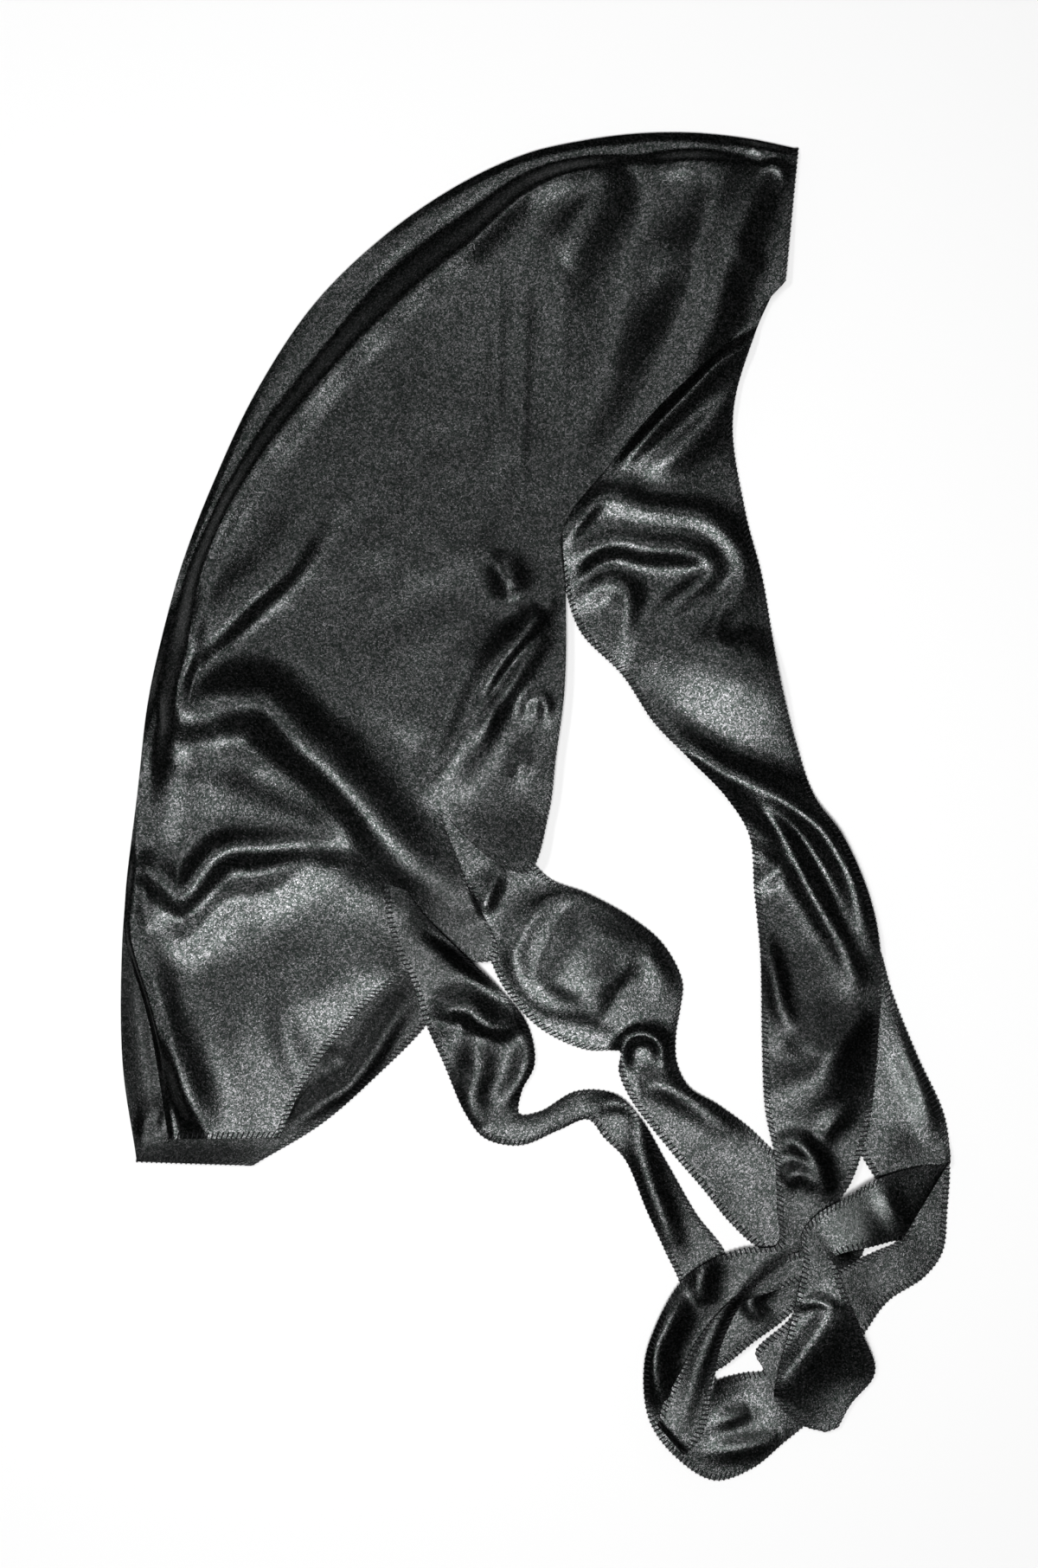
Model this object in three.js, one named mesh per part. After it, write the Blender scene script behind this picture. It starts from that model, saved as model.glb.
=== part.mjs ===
// Durag of black satin, lying on its side on a flat surface, folded in half along its centre seam.
// Millimetres. X runs to the open lower edge of the crown, Y to the forehead, Z up from the surface.
import * as THREE from 'three';

// Driving dimensions.
const WALL = 1.0;               // satin, at the least wall of a solid
const SEAM_GAP = 0.3;           // clearance between pieces that are sewn or lie on each other
const LAYER = 1.6;              // rise from one layer of cloth to the next where ties cross
const FLOOR_Z = 0.7;            // middle of a tie that lies on the surface
const CENTRE = [-1, 0.5];       // middle of the outline in the tables below
const PANEL_STEPS = 54;         // facets of the upper panel from the forehead to the tail
const PANEL_ACROSS = 26;        // facets of the upper panel from the seam to the free edge
const TIE_STEPS_PER_ROW = 2;    // facets of a tie from one section to the next
const TIE_ACROSS = 5;           // facets of a tie from edge to edge
const SEAM_EASE = 0.07;         // share of the panel's width over which folds die out at the seam

// Heights of the layers where cloth lies on cloth.
const LOWER_MID = WALL / 2;
const SEAM_Z = WALL + SEAM_GAP + WALL / 2;
const ON_FLOOR = FLOOR_Z;
const LAYER_1 = FLOOR_Z + LAYER;
const LAYER_2 = FLOOR_Z + 2 * LAYER;
const LAYER_3 = FLOOR_Z + 3 * LAYER;
const LAYER_4 = FLOOR_Z + 4 * LAYER;

// Upper panel, one row a section from the forehead to the tail's hem.
// Columns: seam x, seam y, free edge x, free edge y, free edge z, loft of the middle.
const UPPER_PANEL = [
  [120.6, 304.8, 114.5, 243, 5.0, 2.0],
  [97, 309.6, 86, 213.5, 5.5, 3.0],
  [72, 312.2, 55, 184, 6.2, 4.0],
  [46, 311.8, 33, 158, 6.7, 4.0],
  [20, 308.4, 11.5, 128, 7.2, 4.0],
  [-6, 302.2, 13, 97, 8.2, 3.6],
  [-38, 287.2, 12.4, 55, 8.4, 3.8],
  [-72, 263.6, 8.4, 23, 7.8, 4.2],
  [-103.4, 233, 5, -3, 6.6, 4.4],
  [-130, 192.8, -4.6, -30, 5.5, 4.4],
  [-150.4, 149.5, -24, -22, 5.5, 4.0],
  [-164.6, 112.5, -44, -3, 5.5, 3.2],
  [-173.6, 80, -33, -35, 5.5, 2.6],
  [-180.6, 47, -19, -69, 4.6, 1.8],
  [-185.4, 6, -47, -72, 2.2, 1.4],
  [-190.8, -41, -69, -82, 2.0, 1.4],
  [-191, -60, -88, -100.5, 2.0, 1.2],
  [-180, -99, -107, -126, 2.0, 1.0],
  [-171, -153.5, -119.5, -152.5, 2.0, 0.6],
];

// Folds that stand up from the upper panel.
// Columns: start x, y, middle x, y, end x, y of the crest, half width, height.
const UPPER_FOLDS = [
  [-160, 118, -108, 207, -4, 296, 8, 3.5],
  [98, 300, 69, 232, 30, 156, 14, 4.5],
  [44, 292, 30, 271, 12, 250, 9, 2.5],
  [-173, 56, -137, 95, -106, 128, 12, 4.0],
  [-179, 49, -118, 40, -48, -31, 12, 6.0],
  [-179, 36, -126, 15, -75, -30, 7, 2.5],
  [-186, -36, -158, -35, -98, -17, 8, 3.5],
  [-189, -64, -172, -110, -151, -153, 9, 3.5],
  [2, 88, -22, 58, -47, 9, 8, 3.5],
];

// Lower panel, the mirrored half, which lies flat on the surface. Its tail shows past the upper one.
// Columns: seam x, seam y, free edge x, free edge y.
const LOWER_PANEL = [
  [120.6, 304.8, 113.5, 242],
  [97, 309.6, 85, 212.5],
  [72, 312.2, 54.5, 183.5],
  [46, 311.8, 32.5, 157.5],
  [20, 308.4, 11.5, 127.5],
  [-6, 302.2, 7, 97],
  [-38, 287.2, 3, 53],
  [-72, 263.6, 0, 21],
  [-103.4, 233, -4, -3],
  [-130, 192.8, -10, -23],
  [-150.4, 149.5, -19, -39],
  [-164.6, 112.5, -25, -51],
  [-173.6, 80, -29, -61],
  [-180.6, 47, -33, -69],
  [-185.4, 6, -41, -85],
  [-190.8, -41, -53, -102.5],
  [-192.6, -67, -74, -123.6],
  [-192.2, -119, -100, -146.4],
  [-185.6, -164, -132, -165.8],
];

// Upper tie, one row a section from its gathered root at the temple to its flared end.
// Columns: first edge x, y, z, second edge x, y, z, crest of the middle above the two edges.
const UPPER_TIE = [
  [5.5, 134.5, 5.4, 112.5, 245.5, 3.5, 0],
  [11, 114, 4.6, 100.5, 219, 2.9, 2],
  [14, 97, 2.6, 90.2, 181, 2.0, 5],
  [20.5, 80.5, 1.2, 96, 137, 1.2, 6],
  [39.5, 61, ON_FLOOR, 104.2, 105, ON_FLOOR, 5],
  [54, 39, ON_FLOOR, 111.4, 62, ON_FLOOR, 5],
  [70.6, 22, ON_FLOOR, 119.4, 30, ON_FLOOR, 6],
  [87.5, 4.6, ON_FLOOR, 128.6, 4, ON_FLOOR, 7],
  [98.2, -13, ON_FLOOR, 141, -13, ON_FLOOR, 6],
  [100.6, -39, ON_FLOOR, 154, -43, ON_FLOOR, 5],
  [103.2, -68, 2.6, 158.6, -70, LAYER_2, 3],
  [104, -111, LAYER_2, 157, -111, LAYER_2, 3],
  [105.4, -140, LAYER_2, 153, -147, LAYER_2, 2],
  [110, -163, LAYER_2, 145, -173, LAYER_2, 0],
  [111, -185, LAYER_2, 135, -189, LAYER_2, 0],
  [111, -202, LAYER_2, 129, -215, LAYER_2, 0],
  [95, -204, 3.6, 117, -234, 3.6, 0],
  [77, -211, 3.2, 99, -248, 3.2, 0],
  [66, -220, 2.7, 87, -258, 2.7, 0],
  [54.6, -240, LAYER_1, 83, -260.5, LAYER_1, 0],
  [49.4, -258, LAYER_1, 82, -262, LAYER_1, 0],
  [55, -282.6, LAYER_1, 82, -263.5, LAYER_1, 0],
  [69.6, -299.6, LAYER_1, 83, -265, LAYER_1, 0],
  [82, -311.5, 1.2, 86.5, -264, 1.6, 1],
  [99.5, -306, ON_FLOOR, 96, -262, ON_FLOOR, 2],
  [113.5, -294.5, ON_FLOOR, 105, -260.5, ON_FLOOR, 1],
  [127, -283, ON_FLOOR, 101, -252.5, ON_FLOOR, 0],
  [141, -263, ON_FLOOR, 116, -238, ON_FLOOR, 0],
  [153, -241, ON_FLOOR, 131, -219, ON_FLOOR, 0],
  [162.5, -228.5, ON_FLOOR, 143, -212, ON_FLOOR, 0],
  [179, -217.5, ON_FLOOR, 156, -206, ON_FLOOR, 0],
  [187.4, -206, ON_FLOOR, 168, -200, ON_FLOOR, 0],
  [189.6, -187, ON_FLOOR, 172, -189, ON_FLOOR, 0],
  [190.8, -165, ON_FLOOR, 161, -177, ON_FLOOR, 0],
  [188.4, -143, ON_FLOOR, 149, -159, ON_FLOOR, 0],
  [175.8, -115, ON_FLOOR, 136, -132, ON_FLOOR, 0],
  [164.6, -87, ON_FLOOR, 123, -103, ON_FLOOR, 0],
  [159.6, -70, ON_FLOOR, 116, -87, ON_FLOOR, 0],
  [158.6, -67, 1.4, 115, -84, 1.4, 0],
  [159.6, -70, LAYER_1, 116, -87, LAYER_1, 0],
  [163.8, -87, LAYER_1, 122, -103, LAYER_1, 0],
  [175, -115, LAYER_1, 135, -132, LAYER_1, 0],
  [187.4, -143, LAYER_1, 149, -159, LAYER_1, 0],
  [190.2, -156, 2.4, 161, -180, 2.4, 0],
  [190.2, -164, 3.6, 169, -199, 3.6, 0],
  [176, -166, 5.0, 163, -200.5, 5.0, 0],
  [156, -172, 6.6, 153, -203, 6.6, 0],
  [141, -181, LAYER_4, 143, -205, LAYER_4, 0],
  [129, -188, LAYER_4, 137.5, -207, LAYER_4, 0],
  [122, -197, 7.3, 136, -209, 7.3, 0],
  [123, -209, 7.3, 138, -212.5, 7.3, 0],
  [120, -225, 7.0, 143, -227, 7.0, 1],
  [116, -243, 5.4, 150, -243, 5.0, 2],
  [111, -263, 3.4, 156, -258, 3.0, 3],
  [110, -274, 2.6, 155, -264.5, 2.2, 3],
  [123, -286, 2.3, 145, -276, 2.3, 1],
  [133, -289, 2.3, 139, -287, 2.3, 0],
];

// Lower tie, from its root inside the crown, under the upper tie and back, to its pointed end on the tail.
// Columns as for the upper tie.
const LOWER_TIE = [
  [9, 133, SEAM_Z, 97, 229, SEAM_Z, 0],
  [-3, 134, SEAM_Z, 72, 220, SEAM_Z, 0],
  [-8, 122, SEAM_Z, 20, 196, SEAM_Z, 0],
  [-10, 108, SEAM_Z, -38, 165, SEAM_Z, 0],
  [-10, 90, SEAM_Z, -62, 120, SEAM_Z, 0],
  [-8, 65, SEAM_Z, -66, 75, SEAM_Z, 0],
  [-7, 35, SEAM_Z, -64, 35, SEAM_Z, 0],
  [-8, 8, SEAM_Z, -58, 2, SEAM_Z, 0],
  [-8, -14, SEAM_Z, -45, -22, SEAM_Z, 0],
  [4, -32, SEAM_Z, -31, -40, 2.0, 0.6],
  [23, -40, 1.0, -25.5, -59, 2.0, 4],
  [43, -51, ON_FLOOR, -16, -82.5, 2.0, 6],
  [58, -63.5, ON_FLOOR, 0.5, -101.6, 1.2, 7],
  [67, -81, ON_FLOOR, 22, -112, ON_FLOOR, 5],
  [66, -93, ON_FLOOR, 34.5, -112.5, ON_FLOOR, 5],
  [64, -105, ON_FLOOR, 38.4, -113, ON_FLOOR, 5],
  [64.4, -118, ON_FLOOR, 37.8, -122, ON_FLOOR, 5],
  [70, -129.5, ON_FLOOR, 43, -134.5, ON_FLOOR, 3],
  [83, -137.5, ON_FLOOR, 62, -159.5, ON_FLOOR, 3],
  [97.5, -148, ON_FLOOR, 77, -177, ON_FLOOR, 1],
  [109, -159, ON_FLOOR, 89, -192, ON_FLOOR, 0],
  [123, -171, ON_FLOOR, 103, -204, ON_FLOOR, 0],
  [135, -184, ON_FLOOR, 119, -207, ON_FLOOR, 0],
  [146, -190, 0.9, 134, -206, 0.9, 0],
  [150, -198, 2.2, 139.5, -205, 2.2, 0],
  [150, -207, 3.9, 139.5, -206, 3.9, 0],
  [140, -213, LAYER_3, 135, -203, LAYER_3, 0],
  [118, -220, LAYER_3, 111, -209, LAYER_3, 0],
  [107, -224, LAYER_3, 97, -221, LAYER_3, 0],
  [95, -229, 5.0, 84, -233, 5.0, 0],
  [87, -243, 4.6, 74, -246, 4.6, 0],
  [81, -263, 4.0, 65, -263, 4.0, 0],
  [77, -287, 4.0, 57, -279, 4.0, 0],
  [70, -302, 3.8, 53.5, -284.5, 3.8, 0],
  [67.5, -304.5, 2.2, 51.5, -286.5, 2.2, 0],
  [70, -302, 1.0, 53.5, -284.5, 1.0, 0],
  [73, -287, ON_FLOOR, 58, -276, ON_FLOOR, 0],
  [78, -262, ON_FLOOR, 60, -258, ON_FLOOR, 0],
  [84, -244, ON_FLOOR, 66, -240, ON_FLOOR, 0],
  [88, -225, ON_FLOOR, 67, -224, ON_FLOOR, 0],
  [87, -207, ON_FLOOR, 59, -205, ON_FLOOR, 0],
  [73.5, -188.5, ON_FLOOR, 50.8, -187, ON_FLOOR, 3],
  [60, -165, ON_FLOOR, 40.6, -163, ON_FLOOR, 3],
  [47.5, -144, ON_FLOOR, 31, -153, ON_FLOOR, 4],
  [36, -133, ON_FLOOR, 23.5, -144.5, ON_FLOOR, 4],
  [18, -131.6, ON_FLOOR, 9.5, -149.5, ON_FLOOR, 4],
  [1, -141, ON_FLOOR, -8, -156.4, ON_FLOOR, 3],
  [-8.5, -142, ON_FLOOR, -24.5, -153, ON_FLOOR, 4],
  [-7.5, -131.5, ON_FLOOR, -33.4, -141.5, ON_FLOOR, 5],
  [-1.6, -119, ON_FLOOR, -43.6, -118, ON_FLOOR, 6],
  [-4.6, -101, 0.9, -52, -99, 3.2, 4],
  [-17.5, -84, 2.0, -58, -80, 4.4, 3],
  [-33, -69, 5.8, -66, -63, 5.8, 0.5],
  [-53, -49, 7.2, -70, -46, 7.2, 0],
  [-64, -33, 8, -71, -33, 8, 0],
];

// Smooth curve through a column triple of a section table.
function edgeCurve(points) {
  return new THREE.CatmullRomCurve3(points.map((p) => new THREE.Vector3(...p)), false, 'centripetal');
}

// Middle surface between two edge curves: a grid of points, with the middle of each section moved by
// rise and shaped by profile, which is 0 at both edges and 1 in the middle.
function middleSurface({ first, second, rise, steps, across, profile }) {
  const firstEdge = edgeCurve(first);
  const secondEdge = edgeCurve(second);
  const middle = edgeCurve(rise);
  const grid = [];
  for (let i = 0; i <= steps; i += 1) {
    const along = i / steps;
    const a = firstEdge.getPoint(along);
    const b = secondEdge.getPoint(along);
    const lift = middle.getPoint(along);
    const row = [];
    for (let j = 0; j <= across; j += 1) {
      const t = j / across;
      row.push(a.clone().lerp(b, t).addScaledVector(lift, profile(t)));
    }
    grid.push(row);
  }
  return grid;
}

// Normals of a grid of points, each the sum of the facets around it.
function gridNormals(grid) {
  const normals = grid.map((row) => row.map(() => new THREE.Vector3()));
  const u = new THREE.Vector3();
  const v = new THREE.Vector3();
  for (let i = 0; i + 1 < grid.length; i += 1) {
    for (let j = 0; j + 1 < grid[i].length; j += 1) {
      u.subVectors(grid[i + 1][j + 1], grid[i][j]);
      v.subVectors(grid[i][j + 1], grid[i + 1][j]);
      const facet = new THREE.Vector3().crossVectors(u, v);
      for (const [di, dj] of [[0, 0], [1, 0], [0, 1], [1, 1]]) {
        normals[i + di][j + dj].add(facet);
      }
    }
  }
  normals.forEach((row) => row.forEach((n) => n.normalize()));
  return normals;
}

// Closed wall around a middle surface: two faces half a wall apart from it and a rim around its border.
function clothWall(grid, name, material) {
  const rows = grid.length;
  const columns = grid[0].length;
  const normals = gridNormals(grid);
  const positions = [];
  for (const side of [1, -1]) {
    grid.forEach((row, i) => row.forEach((p, j) => {
      positions.push(...p.clone().addScaledVector(normals[i][j], side * WALL / 2).toArray());
    }));
  }
  const front = (i, j) => i * columns + j;
  const back = (i, j) => rows * columns + i * columns + j;
  const index = [];
  const quad = (a, b, c, d) => index.push(a, b, c, a, c, d);
  for (let i = 0; i + 1 < rows; i += 1) {
    for (let j = 0; j + 1 < columns; j += 1) {
      quad(front(i, j), front(i + 1, j), front(i + 1, j + 1), front(i, j + 1));
      quad(back(i, j), back(i, j + 1), back(i + 1, j + 1), back(i + 1, j));
    }
    quad(back(i, 0), back(i + 1, 0), front(i + 1, 0), front(i, 0));
    quad(front(i, columns - 1), front(i + 1, columns - 1), back(i + 1, columns - 1), back(i, columns - 1));
  }
  for (let j = 0; j + 1 < columns; j += 1) {
    quad(front(0, j), front(0, j + 1), back(0, j + 1), back(0, j));
    quad(back(rows - 1, j), back(rows - 1, j + 1), front(rows - 1, j + 1), front(rows - 1, j));
  }
  const geometry = new THREE.BufferGeometry();
  geometry.setAttribute('position', new THREE.Float32BufferAttribute(positions, 3));
  geometry.setIndex(index);
  geometry.computeVertexNormals();
  const mesh = new THREE.Mesh(geometry, material);
  mesh.name = name;
  return mesh;
}

// Height of one fold at a point: a ridge that follows its crest and tapers to both ends.
function foldHeight([x0, y0, xm, ym, x1, y1, halfWidth, height], point) {
  const samples = 24;
  const start = new THREE.Vector2(x0, y0);
  const end = new THREE.Vector2(x1, y1);
  const control = new THREE.Vector2(2 * xm - (x0 + x1) / 2, 2 * ym - (y0 + y1) / 2);
  const crest = new THREE.QuadraticBezierCurve(start, control, end);
  let nearest = Infinity;
  let place = 0;
  for (let k = 0; k <= samples; k += 1) {
    const p = crest.getPoint(k / samples);
    const distance = Math.hypot(point.x - p.x, point.y - p.y);
    if (distance < nearest) {
      nearest = distance;
      place = k / samples;
    }
  }
  const taper = Math.sin(Math.PI * (0.12 + 0.76 * place));
  return height * taper * Math.exp(-((nearest / halfWidth) ** 2));
}

const plateau = (t) => 1 - (2 * t - 1) ** 4;
const arch = (t) => 4 * t * (1 - t);

function upperPanel(material) {
  const grid = middleSurface({
    first: UPPER_PANEL.map(([seamX, seamY]) => [seamX, seamY, SEAM_Z]),
    second: UPPER_PANEL.map(([, , edgeX, edgeY, edgeZ]) => [edgeX, edgeY, edgeZ]),
    rise: UPPER_PANEL.map((section) => [0, 0, section[5]]),
    steps: PANEL_STEPS,
    across: PANEL_ACROSS,
    profile: plateau,
  });
  grid.forEach((row) => row.forEach((point, j) => {
    const ease = Math.min(1, j / PANEL_ACROSS / SEAM_EASE);
    const folds = UPPER_FOLDS.map((fold) => foldHeight(fold, point));
    point.z += ease * Math.max(...folds);
  }));
  return clothWall(grid, 'crown_panel_upper', material);
}

function lowerPanel(material) {
  const grid = middleSurface({
    first: LOWER_PANEL.map(([seamX, seamY]) => [seamX, seamY, LOWER_MID]),
    second: LOWER_PANEL.map(([, , edgeX, edgeY]) => [edgeX, edgeY, LOWER_MID]),
    rise: LOWER_PANEL.map(() => [0, 0, 0]),
    steps: PANEL_STEPS,
    across: 2,
    profile: plateau,
  });
  return clothWall(grid, 'crown_panel_lower', material);
}

function tie(sections, name, material) {
  const grid = middleSurface({
    first: sections.map(([x, y, z]) => [x, y, z]),
    second: sections.map(([, , , x, y, z]) => [x, y, z]),
    rise: sections.map((section) => [0, 0, section[6]]),
    steps: TIE_STEPS_PER_ROW * (sections.length - 1),
    across: TIE_ACROSS,
    profile: arch,
  });
  return clothWall(grid, name, material);
}

const satin = new THREE.MeshStandardMaterial({ color: 0x17181a, roughness: 0.42, metalness: 0 });

const durag = new THREE.Group();
durag.add(
  upperPanel(satin),
  lowerPanel(satin),
  tie(UPPER_TIE, 'tie_upper', satin),
  tie(LOWER_TIE, 'tie_lower', satin),
);
durag.position.set(-CENTRE[0], -CENTRE[1], 0);

export default durag;
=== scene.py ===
import math

import bpy
import numpy as np
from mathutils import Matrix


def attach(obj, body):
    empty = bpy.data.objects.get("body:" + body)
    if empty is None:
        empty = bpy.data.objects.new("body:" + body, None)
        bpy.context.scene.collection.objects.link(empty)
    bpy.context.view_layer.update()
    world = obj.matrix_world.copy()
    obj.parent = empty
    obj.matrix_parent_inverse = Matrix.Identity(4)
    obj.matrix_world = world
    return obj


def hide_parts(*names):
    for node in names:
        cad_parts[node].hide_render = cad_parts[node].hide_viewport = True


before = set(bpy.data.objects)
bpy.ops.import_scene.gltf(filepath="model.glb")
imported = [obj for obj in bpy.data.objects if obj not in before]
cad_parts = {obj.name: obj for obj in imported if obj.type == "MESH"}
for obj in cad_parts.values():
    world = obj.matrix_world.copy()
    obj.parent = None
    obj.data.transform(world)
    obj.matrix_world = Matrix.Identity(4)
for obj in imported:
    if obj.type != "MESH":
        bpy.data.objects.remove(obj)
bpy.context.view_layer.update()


# Lower panel of the crown
# The half of the crown and tail that lies underneath, one cut piece of thin black satin.
# It lies flat on the table, is sewn to the upper half along the centre seam, and has overlocked free edges.
MM = 0.001
PLAN_ORIGIN = np.array([1.0, -0.5, 0.0])    # where the zero of the rows of points lies, in millimetres
CLOTH = 0.45                                # satin, thickness in millimetres
LOWER_MID = 0.5                             # height of the lower panel's middle surface
LOWER_ALONG = 220                           # cells of the lower panel from the forehead to the tail
LOWER_ACROSS = 90                           # cells of the lower panel from the seam to the free edge
LOWER_EDGE_SEWN = 0.62                      # share of the rows after which its free edge is overlocked

# One row a section from the forehead to the tail's hem.
# Columns: seam x, seam y, free edge x, free edge y.
LOWER_PANEL = np.array([
    (120.6, 304.8, 113.5, 242),
    (97, 309.6, 85, 212.5),
    (72, 312.2, 54.5, 183.5),
    (46, 311.8, 32.5, 157.5),
    (20, 308.4, 11.5, 127.5),
    (-6, 302.2, 7, 97),
    (-38, 287.2, 3, 53),
    (-72, 263.6, 0, 21),
    (-103.4, 233, -4, -3),
    (-130, 192.8, -10, -23),
    (-150.4, 149.5, -19, -39),
    (-164.6, 112.5, -25, -51),
    (-173.6, 80, -29, -61),
    (-180.6, 47, -33, -69),
    (-185.4, 6, -41, -85),
    (-190.8, -41, -53, -102.5),
    (-192.6, -67, -74, -123.6),
    (-192.2, -119, -100, -146.4),
    (-185.6, -164, -132, -165.8),
], float)

# Folds of the lower panel's tail, where it shows past the upper one.
# Columns: crest points, height, reach to the left and right of the run, how the reach grows along it,
# half width of a flat top.
LOWER_FOLDS = [
    (((-58, -87), (-68, -100), (-77, -115), (-88, -129), (-101, -137), (-115, -148)), 2.2, 5, 6, 1, 0),
    (((-98, -114), (-89, -119)), 1.0, 3, 3, 1, 0),
    (((-184, -152), (-181, -143), (-177, -138)), 1.5, 2.5, 2.5, 1, 0),
    (((-179, -150), (-176, -142), (-174, -137)), 1.2, 2.2, 2.2, 1, 0),
    (((-188, -70), (-185, -100), (-178, -150)), 1.0, 4, 9, 1, 0),
    (((-190, -166.5), (-160, -167), (-127, -167.5)), 2.0, 8, 2, 1, 0),
]
FOLD_BLEND = 1.3        # how folds add up where they meet: 1 is a plain sum
FOLD_STEPS = 6          # short straight runs for each point of a crest
FOLD_FAR = 2.6          # reaches from its crest at which a fold has died out
FOLD_TIP = 0.04         # share of a half wave cut off at each end of a fold, so that it keeps a tip
FOLD_FULLNESS = 0.6     # how soon a fold reaches its height: below 1 is sooner
SOFTENING = 2           # passes that ease the creases where folds meet
SMOOTH_BELOW = 65       # degrees between faces up to which a cloth piece is shaded smooth

# Painted light on the satin: paler where one thin layer lies on the lit table, darker with painted shade.
# Columns: first and last section, x, y, reach, tone (above 0 painted paleness, below 0 painted shade).
LOWER_PAINTED_SHADE = [
    # painted shade over the whole lower panel
    (0, 18, -120, -100, 300, -1.0),
]


def through(points, places):
    """Smooth centripetal curve through the points, read at places counted in points."""
    points = np.asarray(points, float)
    padded = np.vstack([2 * points[0] - points[1], points, 2 * points[-1] - points[-2]])
    first = np.clip(places.astype(int), 0, len(points) - 2)
    t = (places - first)[:, None]
    p0, p1, p2, p3 = (padded[first + k] for k in range(4))
    d0, d1, d2 = (np.maximum(((b - a) ** 2).sum(1) ** 0.25, 0.01)[:, None]
                  for a, b in ((p0, p1), (p1, p2), (p2, p3)))
    t1 = ((p1 - p0) / d0 - (p2 - p0) / (d0 + d1) + (p2 - p1) / d1) * d1
    t2 = ((p2 - p1) / d1 - (p3 - p1) / (d1 + d2) + (p3 - p2) / d2) * d1
    return p1 + t1 * t + (3 * (p2 - p1) - 2 * t1 - t2) * t ** 2 + (2 * (p1 - p2) + t1 + t2) * t ** 3


def laid_between(first, second, along, across):
    """Grid of points on straight lines between two edge curves."""
    places = np.linspace(0, len(first) - 1, along + 1)
    t = np.linspace(0, 1, across + 1)[None, :, None]
    start = through(first, places)[:, None, :]
    end = through(second, places)[:, None, :]
    return start + (end - start) * t


def smooth_step(t):
    """0 below 0, 1 above 1 and a smooth rise between."""
    t = np.clip(t, 0, 1)
    return t * t * (3 - 2 * t)


def fold_rise(x, y, folds):
    """Height that folds add at plan places x and y: smooth ridges along their crest lines."""
    places = np.stack([x.ravel(), y.ravel()], 1)
    total = np.zeros(len(places))
    for route, height, left, right, spread, top in folds:
        line = through(route, np.linspace(0, len(route) - 1, FOLD_STEPS * len(route)))
        margin = top + FOLD_FAR * max(left, right) * max(spread, 1)
        close = ((places > line.min(0) - margin) & (places < line.max(0) + margin)).all(1)
        near_places = places[close]
        picks = np.arange(len(near_places))
        run = np.diff(line, axis=0)
        away = near_places[:, None, :] - line[None, :-1, :]
        share = np.clip((away * run).sum(2) / (run ** 2).sum(1), 0, 1)
        off = away - share[:, :, None] * run
        distances = np.hypot(off[:, :, 0], off[:, :, 1])
        near = np.argmin(distances, axis=1)
        distance = distances[picks, near]
        step = run[near]
        off = off[picks, near]
        lean = (step[:, 0] * off[:, 1] - step[:, 1] * off[:, 0]) / (
            np.hypot(step[:, 0], step[:, 1]) * distance + 1e-6)
        along = (near + share[picks, near]) / len(run)
        reach = (right + (left - right) * (0.5 + 0.5 * lean)) * (1 + (spread - 1) * along)
        taper = np.sin(np.pi * (FOLD_TIP + (1 - 2 * FOLD_TIP) * along)) ** FOLD_FULLNESS
        rise = height * taper * np.exp(-(np.maximum(distance - top, 0) / reach) ** 2)
        total[close] = (total[close] ** FOLD_BLEND + rise ** FOLD_BLEND) ** (1 / FOLD_BLEND)
    return total.reshape(x.shape)


def ripples(x, y, seed, height, shortest, longest, waves=26):
    """Slight unevenness of laid cloth: a sum of seeded waves in all directions."""
    draw = np.random.default_rng(seed)
    total = np.zeros_like(x)
    for _ in range(waves):
        turn, phase = draw.uniform(0, 2 * np.pi, 2)
        length = draw.uniform(shortest, longest)
        run = x * np.cos(turn) + y * np.sin(turn)
        total += np.sin(2 * np.pi * run / length + phase) * length / longest
    return height * total / math.sqrt(waves / 2)


def softened(heights):
    """Heights on a grid with sharp creases eased out."""
    for _ in range(SOFTENING):
        padded = np.pad(heights, 1, mode='edge')
        beside = padded[:-2, 1:-1] + padded[2:, 1:-1] + padded[1:-1, :-2] + padded[1:-1, 2:]
        heights = 0.5 * heights + 0.125 * beside
    return heights


def on_stretch(rows, first, last):
    """1 between two sections of a piece, falling to 0 within half a section outside them."""
    return np.clip(2 * (rows - first) + 1, 0, 1) * np.clip(2 * (last - rows) + 1, 0, 1)


def painted_shade_and_sheer(grid, sections, patches):
    """Tone over a piece's grid, painted patch by patch: above 0 painted paleness of the lit table seen
    through, below 0 painted shade.
    """
    rows = np.linspace(0, len(sections) - 1, grid.shape[0])
    total = np.zeros(grid.shape[:2])
    for first, last, x, y, reach, tone in patches:
        away = np.hypot(grid[:, :, 0] - x, grid[:, :, 1] - y) / reach
        total += (tone - total) * on_stretch(rows, first, last)[:, None] * np.exp(-away ** 4)
    return total


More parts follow.
